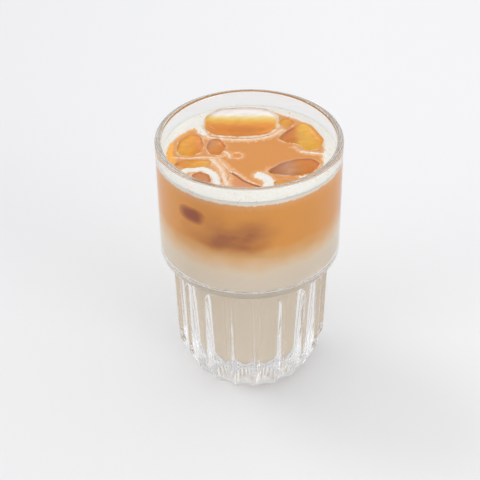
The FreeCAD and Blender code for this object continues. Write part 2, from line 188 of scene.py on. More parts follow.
# Foam drawn over the surface: width, strength and the line it follows.
FOAM_STROKES = (
    (1.2, 0.52, ((-16.6, -6.0), (-13.4, -11.6), (-11.6, -16.0), (-11.0, -21.0), (-9.5, -25.5))),
    (0.5, 0.5, ((-14.0, -4.8), (-9.6, -13.0), (-7.4, -16.6))),
    (0.4, 0.5, ((-8.4, -15.1), (-3.9, -18.3), (-0.4, -23.0), (5.8, -27.0))),
    (1.9, 1.0, ((-31.3, -18.6), (-27.4, -14.6), (-20.8, -13.6), (-15.4, -17.4), (-13.9, -25.3))),
    (2.9, 1.0, ((4.6, -18.6), (7.4, -20.6), (9.2, -24.4), (8.6, -28.5))),
    (0.9, 0.6, ((23.5, 0.6), (28.3, -0.4), (33.2, -1.2), (37.0, -1.5))),
    (0.8, 0.5, ((-11.2, 0.6), (-9.3, -1.2), (-8.6, -4.2))),
    (0.8, 0.5, ((-24.0, 17.0), (-17.5, 12.2), (-8.0, 10.9), (0.0, 10.8), (6.0, 12.2), (11.0, 14.6),
                (15.0, 19.4))),
    (0.5, 0.5, ((-35.0, -4.4), (-27.0, -4.9), (-20.0, -3.9), (-14.8, -4.6))),
    (2.2, 0.9, ((-25.6, 27.0), (-23.6, 21.0), (-21.2, 16.2))),
    (0.35, 0.42, ((-8.0, -2.4), (-7.0, -4.6), (-5.0, -5.0), (-3.2, -4.0), (-3.0, -1.6), (-4.8, -0.2),
                  (-6.8, -0.6))),
    (0.9, 0.6, ((22.6, -19.6), (27.4, -19.0), (31.0, -15.0))),
)

# Fine foam hanging in the coffee as a haze: half width, strength and the line it follows.
HAZE = (
    (2.6, 0.85, ((-20.0, 13.0), (-10.0, 11.4), (0.0, 11.2), (8.0, 13.4), (14.4, 18.4))),
    (2.2, 0.60, ((14.0, 18.0), (13.0, 24.0))),
    (3.4, 0.75, ((-16.0, -6.5), (-12.5, -12.5), (-10.5, -18.0), (-9.5, -26.0))),
    (1.6, 0.55, ((-13.0, -6.5), (-6.5, -16.0), (0.0, -24.0))),
    (1.6, 0.60, ((20.0, 4.5), (25.0, -0.2), (36.0, -2.0))),
    (1.6, 0.70, ((-22.0, -4.6), (-15.0, -4.6), (-9.0, -1.0))),
    (1.8, 0.55, ((10.0, -13.0), (4.5, -19.0))),
)

# Tints in the coffee's surface: half width, strength, colour and the line each follows.
TINTS = (
    # painted glow: light shining through the thin coffee between the ice and the wall
    (2.0, 1.0, "F6B04C", ((-36.2, 5.0), (-36.6, -1.0), (-34.6, -7.0))),
    (2.6, 0.6, "F4AC50", ((-33.0, 14.0), (-29.0, 19.5), (-24.5, 21.5))),
    # foam stained by the coffee, and a bubble's amber floor
    (2.0, 0.85, "D98F66", ((-5.5, -24.5), (-1.5, -26.8))),
    (1.6, 0.8, "E48A3A", ((-5.7, -2.6), (-5.3, -2.6))),
    # dark seams where the coffee runs between the foam
    (0.6, 0.95, "9C5230", ((-8.0, -16.4), (-5.7, -18.8), (-2.6, -22.7), (1.4, -25.8), (4.9, -27.4))),
    (0.4, 0.5, "B87048", ((-13.4, -12.4), (-11.9, -17.2), (-11.8, -23.5))),
    (0.4, 0.5, "B87048", ((-10.2, -14.0), (-8.8, -18.8), (-10.0, -24.3))),
    (0.45, 0.6, "B4683C", ((-20.0, 13.4), (-9.0, 11.9), (2.0, 12.0), (9.6, 14.6))),
)

# Ice sunk in the coffee, seen through the wall: degrees from -Y towards +X, height of its middle, half
# width and half height.
SUNK_ICE = (
    ("ice_sunk_left", -38.0, 106.0, 9.0, 5.6),
)


def linear(code):
    """Linear colour of an sRGB hex value."""
    parts = [int(code[at:at + 2], 16) / 255.0 for at in (0, 2, 4)]
    return [part / 12.92 if part <= 0.04045 else ((part + 0.055) / 1.055) ** 2.4 for part in parts] + [1.0]


def length_size(label, text, millimetres):
    """A length that a user can set."""
    return bpy.props.FloatProperty(
        name=label, description=text, default=millimetres * MM, min=0.0, precision=5, subtype="DISTANCE",
        unit="LENGTH")


def colour(label, text, code):
    """A colour that a user can set."""
    return bpy.props.FloatVectorProperty(
        name=label, description=text, default=linear(code), size=4, min=0.0, max=1.0, subtype="COLOR")


class LatteGlass(bpy.types.PropertyGroup):
    """Sizes of the tumbler's flutes."""

    flute_count: bpy.props.IntProperty(name="Flutes", description="Number of flutes", default=18, min=6)
    flute_turn: bpy.props.FloatProperty(
        name="Turn", description="Turn of the flutes about the axis", default=math.radians(5.0),
        subtype="ANGLE", unit="ROTATION")
    flute_round: length_size("Flute radius", "Radius of a flute's hollow", 6.4)
    flute_depth: length_size("Flute depth", "Depth of a flute down to the heel", 4.2)
    flute_foot_depth: length_size("Depth at the foot", "Depth of a flute at the foot", 1.2)
    ridge_soft: length_size("Ridge softness", "Fire-polished rounding of the ridges", 0.45)


class LatteDrink(bpy.types.PropertyGroup):
    """Sizes of the drink and its foam."""

    wall_overlap: length_size("Wall overlap", "How far the drink reaches into the glass", 0.12)
    foam_height: length_size("Foam height", "Rise of the thickest foam above the drink", 0.75)
    foam_skirt: length_size("Foam skirt", "How much the foam's lower edge wanders", 0.55)
    bubble_size: length_size("Bubble size", "Largest bubble's radius", 0.34)
    bubble_share: bpy.props.FloatProperty(
        name="Bubble share", description="Bubbles on a square millimetre of foam", default=0.35, min=0.0)
    seed: bpy.props.IntProperty(name="Seed", description="Seed of the scattered bubbles", default=7)


class LatteColours(bpy.types.PropertyGroup):
    """Colours of the drink, the ice and the stage."""

    amber: colour("Amber", "Thin coffee under the foam", "EE9E3C")
    milk: colour("Milk", "Cold milk in the fluted body", "EDDDC7")
    cream: colour("Cream", "Where coffee fades into milk", "F0DDC2")
    tan: colour("Tan", "Lower end of the coffee", "EDB874")
    light_tan: colour("Light tan", "Cream clouded by the first coffee", "F1CB9C")
    brown: colour("Brown", "Strongest coffee, in tongues", "B2641A")
    caramel: colour("Caramel", "Coffee below the surface", "EEA034")
    surface: colour("Surface", "Coffee seen from above", "D88F48")
    foam: colour("Foam", "Thick milk foam", "ECEAE2")
    thin_foam: colour("Thin foam", "Foam that the coffee shows through", "EFC59C")
    sunk: colour("Sunk ice", "Coffee seen through sunk ice", "A24A16")
    floor: colour("Floor", "Table and backdrop", "EFEFF0")


class LatteSettings(bpy.types.PropertyGroup):
    """Everything that a user can set."""

    glass: bpy.props.PointerProperty(type=LatteGlass)
    drink: bpy.props.PointerProperty(type=LatteDrink)
    colours: bpy.props.PointerProperty(type=LatteColours)


def node(tree, kind, values=None, links=None, **settings):
    """Add a node with its settings, its sockets' values and the links into it."""
    made = tree.nodes.new(kind)
    for name, setting in settings.items():
        setattr(made, name, setting)
    for socket, value in (values or {}).items():
        made.inputs[socket].default_value = value
    for socket, source in (links or {}).items():
        tree.links.new(source, made.inputs[socket])
    return made


def maths(tree, operation, *terms):
    """One sum on numbers or sockets."""
    values = {at: term for at, term in enumerate(terms) if isinstance(term, (int, float))}
    links = {at: term for at, term in enumerate(terms) if not isinstance(term, (int, float))}
    return node(tree, "ShaderNodeMath", values, links, operation=operation).outputs[0]


def product(tree, *terms):
    """Numbers or sockets multiplied one after another."""
    total = terms[0]
    for term in terms[1:]:
        total = maths(tree, "MULTIPLY", total, term)
    return total


def blank_material(name):
    """An empty node material, its tree, and the socket that gives a point's place on the piece in metres."""
    material = bpy.data.materials.new(name)
    material.use_nodes = True
    tree = material.node_tree
    tree.nodes.clear()
    return material, tree, node(tree, "ShaderNodeTexCoord").outputs["Object"]


def surfaced(material, shader):
    """Give the shader to the material's surface."""
    node(material.node_tree, "ShaderNodeOutputMaterial", links={0: shader.outputs[0]})
    return material


def stored(tree, name):
    """A number that the piece carries on its points."""
    return node(tree, "ShaderNodeAttribute", attribute_name=name).outputs["Fac"]


def noise(tree, place, scale, detail=2.0, roughness=0.5):
    """Soft noise between 0 and 1; the scale is in waves to the metre."""
    return node(tree, "ShaderNodeTexNoise", {"Scale": scale, "Detail": detail, "Roughness": roughness},
                {"Vector": place}).outputs[0]


def wander(tree, grain, width):
    """A noise brought to lie round zero, with this width from end to end."""
    return product(tree, maths(tree, "SUBTRACT", grain, 0.5), width)


def climb(tree, value, start, end, most=1.0):
    """0 before the start, the most after the end and even between; the end may be the lower one."""
    return node(tree, "ShaderNodeMapRange", {"From Min": start, "From Max": end, "To Max": most},
                {"Value": value}).outputs[0]


def ramp(tree, factor, stops):
    """A colour ramp over (place, colour) stops."""
    made = node(tree, "ShaderNodeValToRGB", links={0: factor})
    elements = made.color_ramp.elements
    elements.remove(elements[1])
    elements[0].position, elements[0].color = stops[0]
    for place, tone in stops[1:]:
        elements.new(place).color = tone
    return made.outputs[0]


def number_ramp(tree, factor, stops):
    """A ramp over (place, number) stops."""
    return ramp(tree, factor, [(place, (number, number, number, 1.0)) for place, number in stops])


def blend(tree, factor, first, second):
    """Mix two colours."""
    terms = {0: factor, 6: first, 7: second}
    links = {at: term for at, term in terms.items() if isinstance(term, bpy.types.NodeSocket)}
    values = {at: term for at, term in terms.items() if at not in links}
    return node(tree, "ShaderNodeMix", values, links, data_type="RGBA").outputs[2]


def mix_shaders(tree, factor, first, second):
    """Mix two shaders."""
    return node(tree, "ShaderNodeMixShader", links={0: factor, 1: first.outputs[0], 2: second.outputs[0]})


def clear_solid(name, ior, roughness):
    """A clear dielectric that lets light from lamps through to what is inside it.

    The roughness is one number, or (height, number) pairs where it changes with the height.
    """
    material, tree, place = blank_material(name)
    body = node(tree, "ShaderNodeBsdfPrincipled", {
        "Base Color": WHITE, "IOR": ior, "Transmission Weight": 1.0})
    if isinstance(roughness, float):
        body.inputs["Roughness"].default_value = roughness
    else:
        height = node(tree, "ShaderNodeSeparateXYZ", links={0: place}).outputs[2]
        part = maths(tree, "DIVIDE", height, GLASS_TOP * MM)
        grain = number_ramp(tree, part, [(z / GLASS_TOP, number) for z, number in roughness])
        tree.links.new(grain, body.inputs["Roughness"])
    through = node(tree, "ShaderNodeBsdfTransparent", {"Color": WHITE})
    lamp_light = node(tree, "ShaderNodeLightPath").outputs["Is Shadow Ray"]
    return surfaced(material, mix_shaders(tree, lamp_light, body, through))


def pressed_glass():
    """Soda-lime glass, pressed and fire polished: bright and clean, faintly soft on the pressed body.

    The stippled foot is rougher, so the table shows dimly through it.
    """
    return clear_solid("soda-lime glass, pressed", 1.52, GLASS_ROUGHNESS)


def clear_ice():
    """Clear water ice, melting: wet and glossy, with the edge taken off its reflections."""
    return clear_solid("water ice, melting", 1.31, 0.03)


def latte_material(colours):
    """Milk poured over ice with coffee settled on it: a soft fade from pale to caramel.

    Where the drink wets the glass it shines as a liquid behind glass does, by total reflection.
    """
    material, tree, place = blank_material("milk and coffee, poured in layers")
    x, y, height = node(tree, "ShaderNodeSeparateXYZ", links={0: place}).outputs
    # tongues of stronger coffee reach down into the milk round the wall
    angle = maths(tree, "ADD", maths(tree, "ARCTAN2", y, x), math.radians(TONGUE_TURN))
    waves = product(tree, maths(tree, "COSINE", product(tree, angle, TONGUES)), 0.5)
    tongue = climb(tree, maths(tree, "ADD", waves, noise(tree, place, 42.0, roughness=0.45)), 0.42, 0.95)
    # clouds up to 18 mm across and 11 mm high, where coffee sinks into milk
    flat = node(tree, "ShaderNodeMapping", {"Scale": (1.0, 1.0, 1.7)}, {"Vector": place}).outputs[0]
    clouds = noise(tree, flat, 55.0, 3.0)
    level = maths(tree, "ADD", height, wander(tree, clouds, 11.0 * MM))
    level = maths(tree, "ADD", level, product(tree, tongue, 0.8 * MM))
    low, high = FADE
    layers = ramp(tree, climb(tree, level, low * MM, high * MM), [
        ((z - low) / (high - low), getattr(colours, name)) for z, name in LAYERS])
    # the tongues are strongest in the lower half of the coffee, and the clouds break them up
    up = climb(tree, height, TONGUE_REACH[0] * MM, TONGUE_REACH[1] * MM)
    patchy = maths(tree, "ADD", product(tree, clouds, 3.2), -0.62)
    strength = product(tree, tongue, number_ramp(tree, up, TONGUE_STRENGTH), patchy)
    body = blend(tree, strength, layers, colours.brown)
    # the top is painted a duller tone than the coffee behind the glass: one coffee in two tones, painted
    # shade for the stronger light that falls on the top
    on_top = climb(tree, height, (DRINK_LEVEL - 0.6) * MM, (DRINK_LEVEL - 0.3) * MM)
    body = blend(tree, on_top, body, colours.surface)
    painted = node(tree, "ShaderNodeAttribute", attribute_name="brew").outputs
    tone = blend(tree, painted["Alpha"], body, painted["Color"])
    liquid = node(tree, "ShaderNodeBsdfPrincipled", {"Roughness": 0.22, "IOR": 1.35}, {"Base Color": tone})
    mirror = node(tree, "ShaderNodeBsdfGlossy", {"Color": WHITE, "Roughness": 0.1})
    # total reflection sets in a little sooner than for milk against glass, whose ratio is 0.88
    against_glass = node(tree, "ShaderNodeFresnel", {"IOR": 0.84}).outputs[0]
    glint = product(tree, against_glass, stored(tree, "wetting"))
    return surfaced(material, mix_shaders(tree, glint, liquid, mirror))


def foam_material(colours):
    """Milk foam, steamed and settled: white and dull where thick, tinted by the coffee where thin."""
    material, tree, place = blank_material("milk foam, settled")
    patch = wander(tree, noise(tree, place, 260.0), 0.5)
    fullness = maths(tree, "ADD", stored(tree, "froth"), patch)
    tone = ramp(tree, fullness, ((0.3, colours.thin_foam), (0.72, colours.foam)))
    # a dark open bubble here and there
    pits = node(tree, "ShaderNodeTexVoronoi", {"Scale": 620.0}, {"Vector": place}).outputs["Distance"]
    tone = blend(tree, climb(tree, pits, 0.13, 0.05, 0.75), tone, colours.tan)
    # closed bubbles about 0.7 mm across
    cells = node(tree, "ShaderNodeTexVoronoi", {"Scale": 1400.0}, {"Vector": place}).outputs["Distance"]
    bump = node(tree, "ShaderNodeBump", {"Strength": 0.35, "Distance": 0.2 * MM}, {"Height": cells})
    return surfaced(material, node(tree, "ShaderNodeBsdfPrincipled", {"Roughness": 0.55, "IOR": 1.33}, {
        "Base Color": tone, "Normal": bump.outputs[0]}))


def bubble_material(colours):
    """Bubble skins of milk: thin, wet and pale, a bright dot on each."""
    material, tree, place = blank_material("milk bubble, blown")
    tone = ramp(tree, noise(tree, place, 900.0), ((0.42, colours.thin_foam), (0.6, colours.foam)))
    return surfaced(material, node(tree, "ShaderNodeBsdfPrincipled", {"Roughness": 0.12, "IOR": 1.33}, {
        "Base Color": tone}))


def sunk_ice_material(colours):
    """Ice under the surface: dark, soft-edged, the coffee's strong colour showing through it."""
    material, tree, place = blank_material("water ice, sunk in coffee")
    grain = wander(tree, noise(tree, place, 180.0), 0.3)
    heart = maths(tree, "ADD", stored(tree, "heart"), grain)
    tone = ramp(tree, heart, ((0.06, colours.caramel), (0.62, colours.sunk)))
    return surfaced(material, node(tree, "ShaderNodeBsdfPrincipled", {"Roughness": 0.25, "IOR": 1.31}, {
        "Base Color": tone}))


def floor_material(colours):
    """Table top, matt painted: plain and pale, with painted shade greying it towards -X besides the shadow it
    keeps.
    """
    material, tree, place = blank_material("painted board, matt")
    # painted shade: the board greys towards -X, where the light falls off, with a faint random grain
    side = node(tree, "ShaderNodeSeparateXYZ", links={0: place}).outputs[0]
    grain = product(tree, noise(tree, place, 3.0, 1.0), 0.05)
    painted_shade_and_grain = maths(tree, "ADD", climb(tree, side, 0.05, -0.25, 0.9), grain)
    tone = blend(tree, painted_shade_and_grain, colours.floor, linear("E5E5E6"))
    matt = node(tree, "ShaderNodeBsdfDiffuse", links={"Color": tone})
    # what glass and liquid mirror or bend is half the board as it lies and half the board evenly lit
    even = node(tree, "ShaderNodeEmission", {"Strength": 0.92}, {"Color": tone})
    path = node(tree, "ShaderNodeLightPath").outputs
    in_glass = product(tree, maths(tree, "MAXIMUM", path["Is Glossy Ray"], path["Is Transmission Ray"]), 0.5)
    return surfaced(material, mix_shaders(tree, in_glass, matt, even))


def plain_piece(name, points, faces, material, flat_faces=()):
    """A mesh object from points in millimetres."""
    mesh = bpy.data.meshes.new(name)
    mesh.from_pydata((np.array(points) * MM).tolist(), [], faces)
    smooth = np.ones(len(faces), dtype=bool)
    smooth[list(flat_faces)] = False
    mesh.polygons.foreach_set("use_smooth", smooth)
    mesh.materials.append(material)
    return shown(name, mesh)


def shown(name, data):
    """An object in the scene for a mesh, a lamp or a camera."""
    piece = bpy.data.objects.new(name, data)
    bpy.context.scene.collection.objects.link(piece)
    return piece


def crisp_edges(piece, chosen):
    """Mark the edges between chosen points as sharp, so that shading doesn't run round a rim."""
    mesh = piece.data
    ends = np.empty(len(mesh.edges) * 2, dtype=int)
    mesh.edges.foreach_get("vertices", ends)
    sharp = mesh.attributes.new("sharp_edge", "BOOLEAN", "EDGE")
    sharp.data.foreach_set("value", chosen[ends[0::2]] & chosen[ends[1::2]])


def stand_for(piece, slot, *nodes):
    """Put the piece under the root body and hide the frame's nodes that it stands for; the slot is not used.
    """
    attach(piece, "root")
    if nodes:
        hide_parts(*nodes)


def set_field(piece, name, values):
    """Store one number or one colour on each point."""
    values = np.asarray(values, dtype=np.float32)
    kind, key = ("FLOAT_COLOR", "color") if values.ndim == 2 else ("FLOAT", "value")
    piece.data.attributes.new(name, kind, "POINT").data.foreach_set(key, values.ravel())


def arc(start, end, radius, side, count):
    """Points after the start on the arc of this radius; side 1 bulges to the left of start to end."""
    chord = math.dist(start, end)
    rise = math.sqrt(radius * radius - chord * chord / 4.0)
    nx = -(end[1] - start[1]) / chord * side
    ny = (end[0] - start[0]) / chord * side
    centre = ((start[0] + end[0]) / 2.0 - nx * rise, (start[1] + end[1]) / 2.0 - ny * rise)
    first = math.atan2(start[1] - centre[1], start[0] - centre[0])
    sweep = (math.atan2(end[1] - centre[1], end[0] - centre[0]) - first + math.pi) % TAU - math.pi
    angles = [first + sweep * step / count for step in range(1, count + 1)]
    return [(centre[0] + radius * math.cos(a), centre[1] + radius * math.sin(a)) for a in angles]


def line(start, end, count):
    """Points after the start on a straight line."""
    return [
        (start[0] + (end[0] - start[0]) * step / count, start[1] + (end[1] - start[1]) * step / count)
        for step in range(1, count + 1)
    ]


def cavity_profile():
    """Inside of the tumbler from the floor's centre up to the rim."""
    corner = (FLOOR_RADIUS - FLOOR_ROUND, FLOOR_LEVEL)
    points = [(0.0, FLOOR_LEVEL)] + line((0.0, FLOOR_LEVEL), corner, 3)
    points += arc(corner, (FLOOR_RADIUS, FLOOR_LEVEL + FLOOR_ROUND), FLOOR_ROUND, -1, 10)
    points += line(points[-1], WAIST, 14)
    points += arc(WAIST, LEDGE, LEDGE_ROUND, -1, 12)
    points += line(LEDGE, (RIM - RIM_WALL, GLASS_TOP), 16)
    return points


def outside_profile():
    """Outside of the tumbler from the foot's centre up to the lip."""
    points = list(DISH) + line(DISH[-1], FOOT, 2)
    points += arc(FOOT, HEEL, HEEL_ROUND, -1, 34)
    # rows lie closer together from here up, where the flutes' heads close
    closing = (HEEL[0] + 1.2, 55.0)
    # the crease is rounded by a small arc that meets the body's side and the shoulder's underside
    lower = (CREASE[0] - 0.06, CREASE[1] - CREASE_ROUND)
    upper = (CREASE[0] + CREASE_ROUND, CREASE[1] + 0.22)
    points += line(points[-1], closing, 16)
    points += line(closing, lower, 14)
    points += arc(lower, upper, CREASE_ROUND, 1, 8)
    shoulder = arc(CREASE, BAND, SHOULDER_ROUND, -1, 14)
    points += [point for point in shoulder if point[0] > upper[0] + 0.2]
    points += line(BAND, (RIM, GLASS_TOP - LIP_ROUND), 12)
    points += arc(points[-1], (RIM - LIP_ROUND, GLASS_TOP), LIP_ROUND, -1, 7)
    inner = RIM - RIM_WALL
    points += line(points[-1], (inner + LIP_ROUND, GLASS_TOP), 1)
    points += arc(points[-1], (inner, GLASS_TOP - LIP_ROUND), LIP_ROUND, -1, 7)
    return points


def shell_faces(rows, count):
    """Faces of a closed shell whose points are an end, rows of count points each, and the other end."""
    last = 1 + (rows - 1) * count
    turns = [(step, (step + 1) % count) for step in range(count)]
    faces = [(0, 1 + following, 1 + step) for step, following in turns]
    for low in range(1, last, count):
        high = low + count
        faces += [(low + step, low + following, high + following, high + step) for step, following in turns]
    return faces + [(last + step, last + following, last + count) for step, following in turns]


def turned(profile, count):
    """Points and faces of a solid turned from (radius, height) pairs, the first and last on the axis."""
    points = [(0.0, 0.0, profile[0][1])]
    for radius, height in profile[1:-1]:
        for step in range(count):
            angle = TAU * step / count
            points.append((radius * math.cos(angle), radius * math.sin(angle), height))
    points.append((0.0, 0.0, profile[-1][1]))
    return np.array(points), shell_faces(len(profile) - 2, count)


# What each point of the turned body knows of the cutter that presses its flute.
CUTTER_FIELDS = ("cutter_axis", "cutter_lean", "cutter_reach")


def flute_cutter(height, sizes):
    """Cutter at one height: distance of its axis, square of its lean's cosine, square of its reach.

    The first and last are in metres and square metres.
    """
    if height > CREASE[1] - FLUTE_TOP_GAP + 2.0:
        return 0.0, 0.0, 0.0
    reach, depth, shallow = (
        sizes.flute_round / MM, sizes.flute_depth / MM, sizes.flute_foot_depth / MM)
    foot, head, low_depth = (HEEL, CREASE, depth) if height >= HEEL[1] else (FOOT, HEEL, shallow)
    length = math.dist(foot, head)
    out = ((head[1] - foot[1]) / length, -(head[0] - foot[0]) / length)
    low = (foot[0] - out[0] * low_depth, foot[1] - out[1] * low_depth)
    high = (head[0] - out[0] * depth, head[1] - out[1] * depth)
    slope = math.atan2(high[0] - low[0], high[1] - low[1])
    axis = low[0] + (height - low[1]) * math.tan(slope) + reach / math.cos(slope)
    arch = CREASE[1] - FLUTE_TOP_GAP - math.sqrt(2.0 * reach * depth - depth * depth)
    squared = reach * reach - max(height - arch, 0.0) ** 2
    return axis * MM, math.cos(slope) ** 2, max(squared, 0.0) * MM * MM


def shape_tree(name, sizes):
    """An empty geometry nodes tree, its inputs and their identifiers; sizes give each size's kind."""
    tree = bpy.data.node_groups.new(name, "GeometryNodeTree")
    tree.interface.new_socket("Geometry", in_out="OUTPUT", socket_type="NodeSocketGeometry")
    kinds = {"Geometry": "Geometry", **sizes, "Material": "Material"}
    identifiers = {
        label: tree.interface.new_socket(label, in_out="INPUT", socket_type="NodeSocket" + kind).identifier
        for label, kind in kinds.items()}
    return tree, node(tree, "NodeGroupInput").outputs, identifiers


def end_tree(tree, shape, material):
    """Make the shape's instances real, give it its material and send it out of the tree."""
    real = node(tree, "GeometryNodeRealizeInstances", links={0: shape})
    finish = node(tree, "GeometryNodeSetMaterial", links={"Geometry": real.outputs[0], "Material": material})
    node(tree, "NodeGroupOutput", links={0: finish.outputs[0]})


def field(tree, name):
    """A number stored on the points that a geometry nodes tree is given."""
    return node(tree, "GeometryNodeInputNamedAttribute", {0: name}, data_type="FLOAT").outputs[0]


def flute_tree():
    """Geometry nodes that press concave flutes into a turned body."""
    tree, given, identifiers = shape_tree("Pressed flutes", {
        "Flutes": "Int", "Turn": "Float", "Ridge softness": "Float"})
    x, y, z = node(tree, "ShaderNodeSeparateXYZ", links={
        0: node(tree, "GeometryNodeInputPosition").outputs[0]}).outputs
    angle = maths(tree, "SUBTRACT", maths(tree, "ARCTAN2", y, x), given["Turn"])
    off_centre = maths(tree, "PINGPONG", angle, maths(tree, "DIVIDE", math.pi, given["Flutes"]))
    along = maths(tree, "COSINE", off_centre)
    across = maths(tree, "SINE", off_centre)
    axis, lean, reach = (field(tree, name) for name in CUTTER_FIELDS)
    # where a ray from the glass's axis meets the cutter, as the nearer root of a quadratic
    square = maths(tree, "ADD", product(tree, along, along, lean), product(tree, across, across))
    half = product(tree, axis, lean, along)
    rest = maths(tree, "SUBTRACT", product(tree, axis, axis, lean), reach)
    under_root = maths(tree, "SUBTRACT", product(tree, half, half), product(tree, square, rest))
    root = maths(tree, "SQRT", maths(tree, "MAXIMUM", under_root, 0.0))
    cut = maths(tree, "DIVIDE", maths(tree, "SUBTRACT", half, root), square)
    # a ray that misses the cutter is cut a metre out, clear of the glass
    missed = maths(tree, "LESS_THAN", under_root, 1e-12)
    cut = maths(tree, "ADD", cut, missed)
    radius = maths(tree, "SQRT", maths(tree, "ADD", product(tree, x, x), product(tree, y, y)))
    pressed = maths(tree, "SMOOTH_MIN", radius, cut, given["Ridge softness"])
    factor = maths(tree, "DIVIDE", pressed, radius)
    moved = node(tree, "ShaderNodeCombineXYZ", links={
        0: product(tree, x, factor), 1: product(tree, y, factor), 2: z})
    placed = node(tree, "GeometryNodeSetPosition", links={
        "Geometry": given["Geometry"], "Position": moved.outputs[0]})
    end_tree(tree, placed.outputs[0], given["Material"])
    return tree, identifiers


def bubble_tree():
    """Geometry nodes that scatter half-sunk bubbles over thick foam."""
    tree, given, identifiers = shape_tree("Blown bubbles", {
        "Share": "Float", "Largest": "Float", "Seed": "Int"})
    upward = node(tree, "ShaderNodeSeparateXYZ", links={
        0: node(tree, "GeometryNodeInputNormal").outputs[0]}).outputs[2]
    thick = product(tree, maths(tree, "GREATER_THAN", field(tree, "froth"), 0.55),
                    maths(tree, "GREATER_THAN", upward, 0.3))
    spots = node(tree, "GeometryNodeDistributePointsOnFaces", links={
        "Mesh": given["Geometry"], "Density": product(tree, given["Share"], 1.0 / MM ** 2, thick),
        "Seed": given["Seed"]})
    # many small ones and few large ones
    draw = node(tree, "FunctionNodeRandomValue", links={"Seed": given["Seed"]}, data_type="FLOAT").outputs[1]
    size = maths(tree, "ADD", product(tree, maths(tree, "POWER", draw, 2.6), 0.72), 0.28)
    ball = node(tree, "GeometryNodeMeshIcoSphere", {"Radius": 1.0, "Subdivisions": 2}).outputs["Mesh"]
    soft = node(tree, "GeometryNodeSetShadeSmooth", links={0: ball}).outputs[0]
    scattered = node(tree, "GeometryNodeInstanceOnPoints", links={
        "Points": spots.outputs["Points"], "Instance": soft, "Scale": product(tree, size, given["Largest"])})
    end_tree(tree, scattered.outputs[0], given["Material"])
    return tree, identifiers


def shaped(name, piece, tree, identifiers, values):
    """A new object with what a geometry nodes tree makes of the piece, as a plain mesh."""
    modifier = piece.modifiers.new("shape", "NODES")
    modifier.node_group = tree
    for label, value in values.items():
        modifier[identifiers[label]] = value
    graph = bpy.context.evaluated_depsgraph_get()
    mesh = bpy.data.meshes.new_from_object(piece.evaluated_get(graph), depsgraph=graph)
    mesh.name = name
    piece.modifiers.remove(modifier)
    return shown(name, mesh)


def outline_radii(corners):
    """Centre of a closed outline and its radius at every degree, rounded as melting rounds ice."""
    corners = np.array(corners)
    centre = (corners.min(axis=0) + corners.max(axis=0)) / 2.0
    count = len(corners)
    # a curve through the corners, drawn in towards the straight sides
    spline = []
    for at in range(count):
        before, here, after, beyond = (corners[(at + step) % count] for step in (-1, 0, 1, 2))
        for part in np.linspace(0.0, 1.0, 24, endpoint=False):
            curved = 0.5 * (
                2 * here + (after - before) * part + (2 * before - 5 * here + 4 * after - beyond) * part ** 2
                + (3 * here - before - 3 * after + beyond) * part ** 3)
            spline.append(0.4 * curved + 0.6 * (here + (after - here) * part))
    offset = np.array(spline) - centre
    angles = np.degrees(np.arctan2(offset[:, 1], offset[:, 0])) % 360.0
    order = np.argsort(angles)
    spread = np.hypot(offset[:, 0], offset[:, 1])[order]
    radii = np.interp(np.arange(360.0), angles[order], spread, period=360.0)
    # smoothed over about five degrees either way, with a margin so that the ends meet
    kernel = np.hanning(11) / np.hanning(11).sum()
    margin = 12
    wide = np.concatenate([radii[-margin:], radii, radii[:margin]])
    return centre, np.convolve(wide, kernel, mode="same")[margin:-margin]


OUTLINES = {name: outline_radii(block["outline"]) for name, block in ICE.items()}


def edge_radius(name, degrees):
    """Radius of a block's outline at these angles."""
    radii = OUTLINES[name][1]
    return np.interp(degrees % 360.0, np.arange(361.0), np.append(radii, radii[0]))


def share_of_block(name, x, y):
    """Distance from the block's centre as a share of its outline's radius there, and that radius."""
    dx, dy = x - OUTLINES[name][0][0], y - OUTLINES[name][0][1]
    edge = edge_radius(name, np.degrees(np.arctan2(dy, dx)))
    return np.hypot(dx, dy) / edge, edge


def place_in_block(name, x, y, heading):
    """How far points lie across a block along a heading in degrees, from 0 at one side to 1 at the other."""
    centre, radii = OUTLINES[name]
    reach = radii * np.cos(np.radians(np.arange(360.0) - heading))
    turn = math.radians(heading)
    along = (x - centre[0]) * math.cos(turn) + (y - centre[1]) * math.sin(turn)
    return (along - reach.min()) / (reach.max() - reach.min())


def ripple(x, y, size, seed):
    """Smooth wandering, mostly between -1 and 1: seven crossing waves of about this size."""
    rng = np.random.default_rng(seed)
    total = np.zeros_like(x)
    for _ in range(7):
        heading, start, pitch = rng.uniform(0, TAU), rng.uniform(0, TAU), rng.uniform(0.6, 1.7)
        total += np.sin((x * math.cos(heading) + y * math.sin(heading)) * TAU * pitch / size + start)
    return total / 4.0


def smooth_step(low, high, value):
    """0 below low, 1 above high, smooth between."""
    part = np.clip((value - low) / (high - low), 0.0, 1.0)
    return part * part * (3.0 - 2.0 * part)


def distance_to_line(points, x, y):
    """Distance from every (x, y) to a run of straight pieces."""
    nearest = np.full_like(x, 1e3)
    for start, end in zip(points[:-1], points[1:]):
        dx, dy = end[0] - start[0], end[1] - start[1]
        part = np.clip(((x - start[0]) * dx + (y - start[1]) * dy) / (dx * dx + dy * dy), 0.0, 1.0)
        nearest = np.minimum(nearest, np.hypot(x - start[0] - part * dx, y - start[1] - part * dy))
    return nearest


def hollow_depth(x, y):
    """How far the coffee lies below its level where ice sits in it.

    Each hollow starts 0.35 inside its block's outline and is shallower towards the block's back.
    """
    depth = np.zeros_like(x)
    for name, block in ICE.items():
        share, edge = share_of_block(name, x, y)
        share = share * edge / (edge - 0.35)
        inside = np.clip(1.0 - np.clip(share, 0.0, 1.0) ** 3.2, 0.0, 1.0)
        slope = np.interp(place_in_block(name, x, y, -90.0), (0.0, 0.75), (block.get("back", 0.7), 1.0))
        depth = np.maximum(depth, block["depth"] * slope * inside ** (1.0 / 2.2))
    return depth


